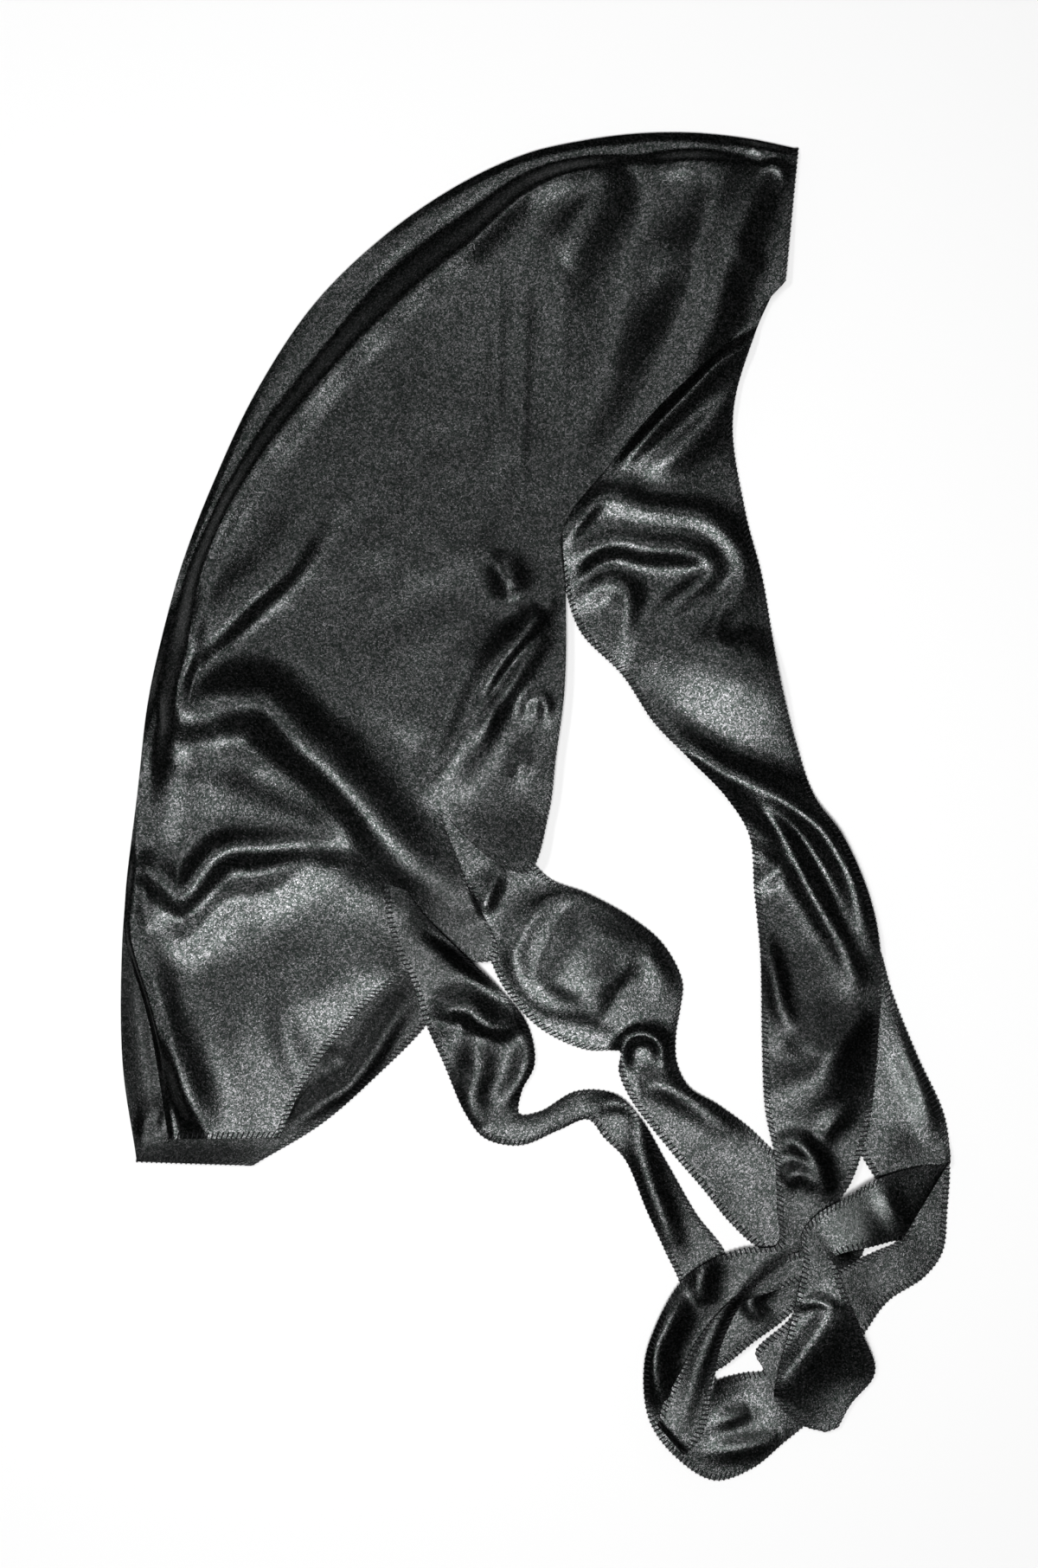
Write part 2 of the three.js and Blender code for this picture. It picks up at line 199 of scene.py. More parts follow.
def satin_sheet(name, grid, tone):
    """Cloth piece on a grid of points in millimetres, with its thickness and its tone of painted shade and
    paleness.
    """
    along, across = grid.shape[0] - 1, grid.shape[1] - 1
    bpy.ops.object.select_all(action='DESELECT')
    bpy.ops.mesh.primitive_grid_add(x_subdivisions=along, y_subdivisions=across, size=1)
    sheet = bpy.context.object
    sheet.name = name
    sheet.data.name = name
    flat = np.empty(len(sheet.data.vertices) * 3)
    sheet.data.vertices.foreach_get("co", flat)
    flat = flat.reshape(-1, 3) + 0.5
    i = np.rint(flat[:, 0] * along).astype(int)
    j = np.rint(flat[:, 1] * across).astype(int)
    sheet.data.vertices.foreach_set("co", ((grid[i, j] + PLAN_ORIGIN) * MM).ravel())
    # tone attribute: painted shade below 0, painted paleness of the lit table seen through above 0
    shade_and_sheer_mark = sheet.data.attributes.new("tone", 'FLOAT', 'POINT')
    shade_and_sheer_mark.data.foreach_set("value", tone[i, j])
    wall = sheet.modifiers.new("cloth", 'SOLIDIFY')
    wall.thickness = CLOTH * MM
    wall.offset = 0
    bpy.ops.object.modifier_apply(modifier=wall.name)
    bpy.ops.object.shade_smooth_by_angle(angle=math.radians(SMOOTH_BELOW))
    return sheet


STITCH_PITCH = 2.3      # overlock stitches along a free edge
STITCH_REACH = 3.0      # from the edge to the needle line
THREAD = 0.5            # thread bundle, height
BUNDLE = 1.5            # width of a thread bundle, in heights
STITCH_SLANT = 0.35     # how far a stitch leans along the edge, in pitches
STITCH_CELLS = 9        # grid points from the edge inwards that a stitch may span

# One row a bend of a stitch, from below the edge round it and back to the needle line.
# Columns: distance inside the edge, lift off the cloth, share of the slant.
STITCH_BENDS = [
    (-0.15, -0.45, 0),
    (-0.4, 0.0, 0),
    (0.2, 0.55, 0),
    (0.55 * STITCH_REACH, 0.5, 0.6),
    (STITCH_REACH, 0.1, 1),
]


def stitch_bars(grid, first, last):
    """Overlock bars along column 0 of a grid, from row share first to last, as sections of 4 points."""
    rim = grid[:, 0]
    steps = np.linalg.norm(np.diff(rim, axis=0), axis=1)
    run = np.concatenate([[0], np.cumsum(steps)])
    count = len(rim) - 1
    bars = []
    for s in np.arange(run[int(first * count)], run[int(last * count)], STITCH_PITCH):
        bar = []
        for inside, lift, lean in STITCH_BENDS:
            place = s + lean * STITCH_SLANT * STITCH_PITCH
            i = min(np.searchsorted(run, place), count)
            strip = grid[i, :STITCH_CELLS]
            reach = np.concatenate([[0], np.cumsum(np.linalg.norm(np.diff(strip, axis=0), axis=1))])
            inward = (strip[2] - strip[0]) / (reach[2] + 1e-6)
            on_rim = np.array([np.interp(place, run, rim[:, k]) for k in range(3)])
            depth = np.array([np.interp(max(inside, 0), reach, strip[:, k]) for k in range(3)]) - rim[i]
            edge_run = rim[min(i + 1, count)] - rim[max(i - 1, 0)]
            up = np.cross(edge_run, inward)
            up /= np.linalg.norm(up) + 1e-9
            up *= 1 if up[2] >= 0 else -1
            bar.append((on_rim + depth + min(inside, 0) * inward + lift * up, edge_run, up))
        sections = []
        for point, edge_run, up in bar:
            side = edge_run / (np.linalg.norm(edge_run) + 1e-9) * THREAD * BUNDLE / 2
            rise = up * THREAD / 2
            sections += [point + side, point + rise, point - side, point - rise]
        bars.append(sections)
    return bars


def overlock(name, bars):
    """One mesh of all the overlock stitches of a piece."""
    sections = len(bars[0]) // 4
    points = (np.array(bars).reshape(-1, 3) + PLAN_ORIGIN) * MM
    faces = []
    for k in range(len(bars)):
        start = k * sections * 4
        for row in range(sections - 1):
            a = start + row * 4
            faces += [(a + c, a + (c + 1) % 4, a + 4 + (c + 1) % 4, a + 4 + c) for c in range(4)]
        faces.append((start + 3, start + 2, start + 1, start))
        end = start + (sections - 1) * 4
        faces.append((end, end + 1, end + 2, end + 3))
    mesh = bpy.data.meshes.new(name)
    mesh.from_pydata(points.tolist(), [], faces)
    thread = bpy.data.objects.new(name, mesh)
    bpy.context.scene.collection.objects.link(thread)
    bpy.ops.object.select_all(action='DESELECT')
    bpy.context.view_layer.objects.active = thread
    thread.select_set(True)
    bpy.ops.object.mode_set(mode='EDIT')
    bpy.ops.mesh.select_all(action='SELECT')
    bpy.ops.mesh.normals_make_consistent(inside=False)
    bpy.ops.object.mode_set(mode='OBJECT')
    bpy.ops.object.shade_smooth()
    return thread


GLINT_RARITY = 2.5      # above 1, fewer floats glint


def satin_weave():
    """Fine grain of satin: floats that glint one by one, as a height, a glint and a tone of each float."""
    group = bpy.data.node_groups.new("satin_weave", 'ShaderNodeTree')
    group.interface.new_socket("Grain size", in_out='INPUT', socket_type='NodeSocketFloat')
    group.interface.new_socket("Height", in_out='OUTPUT', socket_type='NodeSocketFloat')
    group.interface.new_socket("Glint", in_out='OUTPUT', socket_type='NodeSocketFloat')
    group.interface.new_socket("Float", in_out='OUTPUT', socket_type='NodeSocketFloat')
    nodes, links = group.nodes, group.links
    start = nodes.new('NodeGroupInput')
    end = nodes.new('NodeGroupOutput')
    place = nodes.new('ShaderNodeTexCoord')
    grain = nodes.new('ShaderNodeTexNoise')
    grain.inputs['Detail'].default_value = 2.0
    grain.inputs['Roughness'].default_value = 0.65
    links.new(place.outputs['Object'], grain.inputs['Vector'])
    links.new(start.outputs['Grain size'], grain.inputs['Scale'])
    floats = nodes.new('ShaderNodeTexVoronoi')
    floats.inputs['Randomness'].default_value = 1.0
    links.new(place.outputs['Object'], floats.inputs['Vector'])
    links.new(start.outputs['Grain size'], floats.inputs['Scale'])
    glint = nodes.new('ShaderNodeMath')
    glint.operation = 'POWER'
    glint.inputs[1].default_value = GLINT_RARITY
    tone = nodes.new('ShaderNodeSeparateColor')
    links.new(floats.outputs['Color'], tone.inputs['Color'])
    links.new(tone.outputs['Red'], glint.inputs[0])
    links.new(grain.outputs['Fac'], end.inputs['Height'])
    links.new(glint.outputs['Value'], end.inputs['Glint'])
    links.new(tone.outputs['Green'], end.inputs['Float'])
    return group


SATIN_WEAVE = satin_weave()
SATIN_GRAIN = 1700.0                        # glinting floats in a metre
SATIN_DARK = (0.0040, 0.0056, 0.0048, 1)    # yarn between the glints
SATIN_GLINT = (0.050, 0.0492, 0.051, 1)     # brightest floats
SATIN_SHEER = (0.0078, 0.0090, 0.0084, 1)   # painted paleness of the lit table showing through one layer
SHEER_GLINT = 0.3                           # share of the glints that is left where it is sheer
DARKEST_PAINTED_SHADE = 0.25                           # share of the colour that is left where the painted shade is darkest
SATIN_ROUGHNESS = (0.30, 0.17)              # of the roughest and the smoothest float
SATIN_RELIEF = 0.00025                      # height of the grain, in metres
SATIN_RELIEF_SHARE = 0.35                   # share of that height that shows
SATIN_METALLIC = 0.9                        # high, so that the grain shows in the sheen
SATIN_SPECULAR = 0.2
THREAD_GRAIN = 2600.0                       # glinting fibres in a metre
THREAD_DARK = (0.003, 0.003, 0.0035, 1)
THREAD_GLINT = (0.014, 0.014, 0.015, 1)
THREAD_ROUGHNESS = (0.6, 0.45)              # of a dark and a glinting fibre
THREAD_SPECULAR = 0.15


def black_satin():
    """Polyester satin: near-black yarn with a fine glinting grain, with painted paleness and painted shade
    from the tone attribute.
    """
    material = bpy.data.materials.new("black_satin")
    material.use_nodes = True
    nodes, links = material.node_tree.nodes, material.node_tree.links
    shader = nodes['Principled BSDF']
    weave = nodes.new('ShaderNodeGroup')
    weave.node_tree = SATIN_WEAVE
    weave.inputs['Grain size'].default_value = SATIN_GRAIN
    shade_and_sheer_mark = nodes.new('ShaderNodeAttribute')
    shade_and_sheer_mark.attribute_name = "tone"
    # painted paleness: above 0 the ground turns paler and glints fewer, as if the lit table showed through
    # one thin layer
    ground = nodes.new('ShaderNodeMix')
    ground.data_type = 'RGBA'
    ground.inputs['A'].default_value = SATIN_DARK
    ground.inputs['B'].default_value = SATIN_SHEER
    links.new(shade_and_sheer_mark.outputs['Fac'], ground.inputs['Factor'])
    sheer_glint_share = nodes.new('ShaderNodeMapRange')
    sheer_glint_share.inputs['To Min'].default_value = 1.0
    sheer_glint_share.inputs['To Max'].default_value = SHEER_GLINT
    links.new(shade_and_sheer_mark.outputs['Fac'], sheer_glint_share.inputs['Value'])
    glint = nodes.new('ShaderNodeMath')
    glint.operation = 'MULTIPLY'
    links.new(weave.outputs['Glint'], glint.inputs[0])
    links.new(sheer_glint_share.outputs['Result'], glint.inputs[1])
    colour = nodes.new('ShaderNodeMix')
    colour.data_type = 'RGBA'
    links.new(glint.outputs['Value'], colour.inputs['Factor'])
    links.new(ground.outputs['Result'], colour.inputs['A'])
    colour.inputs['B'].default_value = SATIN_GLINT
    # painted shade: below 0 the whole colour is scaled darker
    shade = nodes.new('ShaderNodeMapRange')
    shade.inputs['From Min'].default_value = -1.0
    shade.inputs['From Max'].default_value = 0.0
    shade.inputs['To Min'].default_value = DARKEST_PAINTED_SHADE
    links.new(shade_and_sheer_mark.outputs['Fac'], shade.inputs['Value'])
    shaded = nodes.new('ShaderNodeVectorMath')
    shaded.operation = 'SCALE'
    links.new(colour.outputs['Result'], shaded.inputs[0])
    links.new(shade.outputs['Result'], shaded.inputs['Scale'])
    links.new(shaded.outputs['Vector'], shader.inputs['Base Color'])
    gloss = nodes.new('ShaderNodeMapRange')
    gloss.inputs['To Min'].default_value = SATIN_ROUGHNESS[0]
    gloss.inputs['To Max'].default_value = SATIN_ROUGHNESS[1]
    links.new(weave.outputs['Float'], gloss.inputs['Value'])
    links.new(gloss.outputs['Result'], shader.inputs['Roughness'])
    bump = nodes.new('ShaderNodeBump')
    bump.inputs['Strength'].default_value = SATIN_RELIEF_SHARE
    bump.inputs['Distance'].default_value = SATIN_RELIEF
    links.new(weave.outputs['Height'], bump.inputs['Height'])
    links.new(bump.outputs['Normal'], shader.inputs['Normal'])
    shader.inputs['Metallic'].default_value = SATIN_METALLIC
    shader.inputs['Specular IOR Level'].default_value = SATIN_SPECULAR
    return material


def black_thread():
    """Overlock thread: spun black polyester, duller than the satin."""
    material = bpy.data.materials.new("black_thread")
    material.use_nodes = True
    nodes, links = material.node_tree.nodes, material.node_tree.links
    shader = nodes['Principled BSDF']
    weave = nodes.new('ShaderNodeGroup')
    weave.node_tree = SATIN_WEAVE
    weave.inputs['Grain size'].default_value = THREAD_GRAIN
    colour = nodes.new('ShaderNodeMix')
    colour.data_type = 'RGBA'
    links.new(weave.outputs['Glint'], colour.inputs['Factor'])
    colour.inputs['A'].default_value = THREAD_DARK
    colour.inputs['B'].default_value = THREAD_GLINT
    links.new(colour.outputs['Result'], shader.inputs['Base Color'])
    gloss = nodes.new('ShaderNodeMapRange')
    gloss.inputs['To Min'].default_value = THREAD_ROUGHNESS[0]
    gloss.inputs['To Max'].default_value = THREAD_ROUGHNESS[1]
    links.new(weave.outputs['Glint'], gloss.inputs['Value'])
    links.new(gloss.outputs['Result'], shader.inputs['Roughness'])
    shader.inputs['Specular IOR Level'].default_value = THREAD_SPECULAR
    return material


SATIN = black_satin()
THREAD_BLACK = black_thread()

lower_level = np.full((len(LOWER_PANEL), 1), LOWER_MID)
lower_seam = np.hstack([LOWER_PANEL[:, 0:2], lower_level])
lower_edge = np.hstack([LOWER_PANEL[:, 2:4], lower_level])
lower_grid = laid_between(lower_seam, lower_edge, LOWER_ALONG, LOWER_ACROSS)
lower_grid[:, :, 2] += softened(fold_rise(lower_grid[:, :, 0], lower_grid[:, :, 1], LOWER_FOLDS))
lower_panel = satin_sheet("lower_panel", lower_grid, painted_shade_and_sheer(lower_grid, LOWER_PANEL, LOWER_PAINTED_SHADE))
lower_panel.data.materials.append(SATIN)
lower_bars = stitch_bars(lower_grid[:, ::-1], LOWER_EDGE_SEWN, 1.0)
lower_bars += stitch_bars(lower_grid.transpose(1, 0, 2)[:, ::-1], 0.0, 1.0)
lower_overlock = overlock("lower_panel_overlock", lower_bars)
lower_overlock.data.materials.append(THREAD_BLACK)
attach(lower_panel, "root")
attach(lower_overlock, "root")
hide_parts("crown_panel_lower")


# Upper panel of the crown
# The half of the crown and tail that lies on top, cut as the mirror image of the lower one.
# It lies loose over the hollow of the crown in soft folds, and its nape edge is turned back over the ties.
UPPER_ALONG = 300       # cells of the upper panel from the forehead to the tail
UPPER_ACROSS = 156      # cells of the upper panel from the seam to the free edge
UPPER_EDGE_SEWN = 0.24  # share of the rows after which its free edge is overlocked

# One row a section from the forehead to the tail's hem.
# Columns: seam x, seam y, free edge x, free edge y, free edge z,
# distances from the seam where the cloth starts to rise and stops, share of its height that it gains there.
UPPER_PANEL = np.array([
    (120.6, 304.8, 114.5, 243, 5.0, 6, 12, 0.15),
    (97, 309.6, 86, 213.5, 5.5, 7, 13, 0.15),
    (72, 312.2, 55, 184, 6.2, 7, 14, 0.55),
    (46, 311.8, 33, 158, 7.0, 8, 16, 0.15),
    (20, 308.4, 11.5, 128, 7.5, 7, 15, 0.6),
    (-6, 302.2, 13, 97, 7.5, 7, 19, 0.75),
    (-38, 287.2, 12.4, 55, 7.6, 11, 29, 1),
    (-72, 263.6, 8.4, 23, 7.4, 12, 31, 1),
    (-103.4, 233, 5, -3, 6.6, 16, 30, 1),
    (-130, 192.8, -4.6, -30, 5.5, 11, 23, 1),
    (-150.4, 149.5, -24, -22, 5.5, 6, 14, 1),
    (-164.6, 112.5, -44, -3, 5.5, 3, 12, 1),
    (-173.6, 80, -33, -35, 5.5, 3, 16, 1),
    (-180.6, 47, -19, -69, 4.6, 3, 16, 1),
    (-185.4, 6, -47, -72, 2.2, 3, 14, 1),
    (-190.8, -41, -69, -82, 2.0, 3, 12, 1),
    (-191, -60, -88, -100.5, 2.0, 3, 12, 1),
    (-180, -99, -107, -126, 2.0, 3, 12, 1),
    (-171, -153.5, -119.5, -152.5, 2.0, 3, 12, 1),
], float)
UPPER_SEAM_Z = 1.2      # the upper edge of the centre seam, on the lower panel's
SEAM_EASE = 2.2         # distance from the seam over which folds die out
SEAM_PAD = 1.0          # height that the folded seam allowance gives the strip beside the seam
PAD_SLOPE = 6.0         # width of the slope at the strip's inner side, half of it before the rise
BROW = 2.4              # height of the soft lip at the top of the rise
BROW_REACH = 7.0        # reach of the lip to each side of its crest
BROW_FULL = 5.0         # how far the free edge is above the seam where the lip has its full height

# Folds that stand up from the upper panel, from the forehead to the tail.
# Columns: as for the lower panel's folds.
UPPER_FOLDS = [
    # short bulges along the seam towards the forehead
    (((-6, 288), (6, 291.5), (20, 294), (34, 296.5)), 1.0, 4.5, 10, 1, 0),
    (((45, 297), (58, 297.5), (70, 298), (82, 300)), 1.0, 4, 10, 1, 0),
    (((98, 303), (100, 305), (103, 303)), 1.0, 2, 2.5, 1, 0),
    (((105, 293), (108, 297), (112, 296), (114, 290)), 2.0, 3, 4, 1, 0),
    # soft streaks from the forehead towards the temple
    (((40, 295), (33, 284), (25, 274), (17, 263), (8, 254)), 3.4, 13, 10, 1, 1),
    (((101, 298), (95, 289), (90, 278), (84, 263), (79, 246), (74, 230), (68, 215), (61, 201), (53, 185),
      (45, 170), (35, 154)), 5.0, 12, 13, 1, 6),
    (((90, 262), (102, 246)), 1.4, 5, 5, 1, 0),
    # folds that gather above the nape
    (((-106, 128), (-118, 113), (-137, 95), (-150, 82), (-160, 72), (-173, 56)), 4.5, 6, 13, 1, 3),
    (((-180, 47), (-173, 53), (-168, 48), (-161, 43), (-155, 44), (-147, 47), (-138, 48), (-127, 47),
      (-120, 41), (-110, 30), (-100, 21), (-90, 11), (-80, 0), (-72, -11), (-65, -19), (-58, -25),
      (-48, -31)), 8.0, 16, 13, 1, 0),
    (((-180, 38), (-172, 28), (-163, 21), (-150, 22), (-138, 21), (-128, 16), (-112, 6), (-104, 0),
      (-97, -8), (-93, -16), (-85, -20), (-72, -34)), 2.0, 8, 9, 1, 0),
    # nape folds below the main ridge
    (((-189, -40), (-186, -34), (-181, -31), (-175, -33), (-166, -41), (-161, -38), (-155, -30),
      (-148, -22), (-140, -19), (-130, -19), (-120, -18), (-108, -17), (-94, -17)), 5.0, 9, 9, 0.8, 0),
    (((-189, -38), (-183, -43), (-175, -51), (-168, -58), (-163, -60), (-158, -56), (-152, -50),
      (-146, -44), (-140, -41), (-130, -40), (-120, -37), (-110, -31), (-100, -23)), 2.2, 6, 9, 1, 0),
    # tail
    (((-190, -62), (-186, -74), (-182, -86), (-178, -98), (-173, -108), (-167, -120), (-163, -131),
      (-158, -141), (-152, -151)), 6.0, 19, 8, 0.6, 0),
    (((-118, -88), (-116, -105), (-112, -118), (-107, -127)), 1.4, 7, 7, 1, 0),
    (((-165, -100), (-130, -97), (-95, -92), (-60, -84)), 2.6, 36, 60, 1, 0),
    # folds beside the crown's lower edge
    (((4, 90), (-1, 85), (-10, 75), (-20, 62), (-27, 50)), 4.5, 4, 10, 1, 0),
    (((-24, 55), (-28, 48), (-32, 38), (-36, 28), (-41, 19), (-47, 9)), 3.6, 12, 9, 1, 0),
    (((4, 80), (-4, 70.6), (-13, 57), (-21.4, 43.6), (-27, 30)), 3.0, 6, 3.5, 1, 0),
    (((-6, 42), (-5, 48), (0, 51), (4, 47), (3, 41)), 1.4, 3, 3, 1, 0),
    (((-10, 12), (-8, 20), (-4, 26)), 1.4, 5, 5, 1, 0),
    (((15, -20), (-5, -36), (-30, -45)), 5.0, 6, 34, 1, 0),
    (((-20, 118), (-14, 105), (-11, 97)), 3.5, 9, 7, 1, 0),
    # creases of the packing
    (((-59, 197), (-61, 97)), 0.35, 3, 3, 1, 0),
    (((-18, 240), (-20, 150)), 0.4, 3, 4, 1, 0),
    (((-5, 241), (-9, 133)), 0.35, 3, 4, 1, 0),
    (((32, 210), (33, 175)), 0.35, 3, 3, 1, 0),
]

# Painted shade. Columns: as for the lower panel's tone.
UPPER_PAINTED_SHADE = [
    # painted shade on the crown, the tail, the flap and the nape's dark gaps
    (0, 18, -42, 120, 86, -0.55),
    (14, 18, -140, -130, 60, -0.4),
    (7, 14, -8, 5, 40, -0.6),
    (12, 16, -45, -52, 34, -1.0),
]

# Slight unevenness of the upper panel.
# Columns: seed, height, shortest and longest wave.
UPPER_UNEVEN = [
    (11, 0.19, 16, 55),
    (12, 0.6, 70, 160),
]

upper_rows = len(UPPER_PANEL)
upper_seam = np.hstack([UPPER_PANEL[:, 0:2], np.full((upper_rows, 1), UPPER_SEAM_Z)])
upper_grid = laid_between(upper_seam, UPPER_PANEL[:, 2:5], UPPER_ALONG, UPPER_ACROSS)
upper_x, upper_y = upper_grid[:, :, 0], upper_grid[:, :, 1]
from_seam = np.hypot(upper_x - upper_x[:, :1], upper_y - upper_y[:, :1])
ease = 1 - np.exp(-(from_seam / SEAM_EASE) ** 2)
upper_places = np.linspace(0, upper_rows - 1, UPPER_ALONG + 1)
upper_starts = through(UPPER_PANEL[:, 4:8], upper_places)
edge_height = upper_starts[:, :1] - UPPER_SEAM_Z
rise_start, rise_end, rise_share = upper_starts[:, 1:2], upper_starts[:, 2:3], upper_starts[:, 3:4]
climb = smooth_step((from_seam - rise_start) / (rise_end - rise_start))
straight = np.linspace(0, 1, UPPER_ACROSS + 1)[None, :]
upper_grid[:, :, 2] += edge_height * rise_share * (climb - straight)
pad = SEAM_PAD * (1 - smooth_step((from_seam - rise_start) / PAD_SLOPE + 0.5))
lip = BROW * rise_share * np.clip(edge_height / BROW_FULL, 0, 1)
lip = lip * np.exp(-((from_seam - rise_end) / BROW_REACH) ** 2)
upper_rise = pad + lip + fold_rise(upper_x, upper_y, UPPER_FOLDS)
for seed, height, shortest, longest in UPPER_UNEVEN:
    upper_rise += ripples(upper_x, upper_y, seed, height, shortest, longest)
upper_grid[:, :, 2] += softened(ease * upper_rise)
upper_panel = satin_sheet("upper_panel", upper_grid, painted_shade_and_sheer(upper_grid, UPPER_PANEL, UPPER_PAINTED_SHADE))
upper_panel.data.materials.append(SATIN)
upper_bars = stitch_bars(upper_grid[:, ::-1], UPPER_EDGE_SEWN, 1.0)
upper_bars += stitch_bars(upper_grid.transpose(1, 0, 2), 0.0, 1.0)
upper_bars += stitch_bars(upper_grid.transpose(1, 0, 2)[:, ::-1], 0.0, 1.0)
upper_overlock = overlock("upper_panel_overlock", upper_bars)
upper_overlock.data.materials.append(THREAD_BLACK)
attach(upper_panel, "root")
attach(upper_overlock, "root")
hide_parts("crown_panel_upper")


# Upper tie
# A long strip of the same satin, gathered where it is sewn under the upper panel's temple edge.
# It runs down, loops round through the lower tie and back under itself, and ends in a flared point.
TIE_STEPS = 16          # cells of a tie from one section to the next
TIE_ACROSS = 34         # cells of a tie from edge to edge
TIE_SLACK = 0.15        # share of the arch that the thin cloth keeps
TIE_EDGE_SEWN = 0.02    # share of the rows after which its long edges are overlocked
TIE_UNEVEN = (0.18, 16, 45)     # slight unevenness: height, shortest and longest wave
UPPER_TIE_SEED = 23

# One row a section from the root to the free end.
# Columns: first edge x, y, z, second edge x, y, z, arch of the middle.
UPPER_TIE = np.array([
    (5.5, 134.5, 5.4, 112.5, 245.5, 3.5, 0),
    (11, 114, 4.6, 100.5, 219, 2.9, 2),
    (14, 97, 2.6, 90.2, 181, 2.0, 5),
    (20.5, 80.5, 1.2, 96, 137, 1.2, 6),
    (39.5, 61, 0.7, 104.2, 105, 0.7, 5),
    (54, 39, 0.7, 111.4, 62, 0.7, 5),
    (70.6, 22, 0.7, 119.4, 30, 0.7, 6),
    (87.5, 4.6, 0.7, 128.6, 4, 0.7, 7),
    (98.2, -13, 0.7, 141, -13, 0.7, 6),
    (100.6, -39, 0.7, 154, -43, 0.7, 5),
    (103.2, -68, 2.6, 158.6, -70, 3.9, 3),
    (104, -111, 3.9, 157, -111, 3.9, 3),
    (105.4, -140, 3.9, 153, -147, 3.9, 2),
    (110, -163, 3.9, 145, -173, 3.9, 0),
    (111, -185, 3.9, 135, -189, 3.9, 0),
    (111, -202, 3.9, 129, -215, 3.9, 0),
    (95, -204, 3.6, 117, -234, 3.6, 0),
    (77, -211, 3.2, 99, -248, 3.2, 0),
    (66, -220, 2.7, 87, -258, 2.7, 0),
    (54.6, -240, 2.3, 83, -260.5, 2.3, 0),
    (49.4, -258, 2.3, 82, -262, 2.3, 0),
    (52, -284, 2.3, 82, -263.5, 2.3, 0),
    (65, -301.5, 2.3, 83, -265, 2.3, 0),
    (82, -311.5, 1.2, 86.5, -264, 1.6, 1),
    (99.5, -306, 0.7, 96, -262, 0.7, 2),
    (113.5, -294.5, 0.7, 105, -260.5, 0.7, 1),
    (127, -283, 0.7, 101, -252.5, 0.7, 0),
    (141, -263, 0.7, 116, -238, 0.7, 0),
    (153, -241, 0.7, 131, -219, 0.7, 0),
    (162.5, -228.5, 0.7, 143, -212, 0.7, 0),
    (179, -217.5, 0.7, 156, -206, 0.7, 0),
    (187.4, -206, 0.7, 168, -200, 0.7, 0),
    (189.6, -187, 0.7, 172, -189, 0.7, 0),
    (190.8, -165, 0.7, 161, -177, 0.7, 0),
    (188.4, -143, 0.7, 149, -159, 0.7, 0),
    (175.8, -115, 0.7, 136, -132, 0.7, 0),
    (164.6, -87, 0.7, 123, -103, 0.7, 0),
    (159.6, -70, 0.7, 116, -87, 0.7, 0),
    (158.6, -67, 1.4, 115, -84, 1.4, 0),
    (159.6, -70, 2.3, 116, -87, 2.3, 0),
    (163.8, -87, 2.3, 122, -103, 2.3, 0),
    (175, -115, 2.3, 135, -132, 2.3, 0),
    (187.4, -143, 2.3, 149, -159, 2.3, 0),
    (190.2, -156, 2.4, 161, -180, 2.4, 0),
    (190.2, -164, 3.6, 169, -199, 3.6, 0),
    (176, -166, 5.0, 163, -200.5, 5.0, 0),
    (156, -172, 6.6, 153, -203, 6.6, 0),
    (141, -181, 7.1, 143, -205, 7.1, 0),
    (129, -188, 7.1, 137.5, -207, 7.1, 0),
    (122, -197, 7.3, 136, -209, 7.3, 0),
    (123, -209, 7.3, 138, -212.5, 7.3, 0),
    (120, -225, 7.0, 143, -227, 7.0, 1),
    (116, -243, 5.4, 150, -243, 5.0, 2),
    (111, -263, 3.4, 156, -258, 3.0, 3),
    (110, -274, 2.6, 155, -264.5, 2.2, 3),
    (123, -286, 2.3, 145, -276, 2.3, 1),
    (133, -289, 2.3, 139, -287, 2.3, 0),
], float)

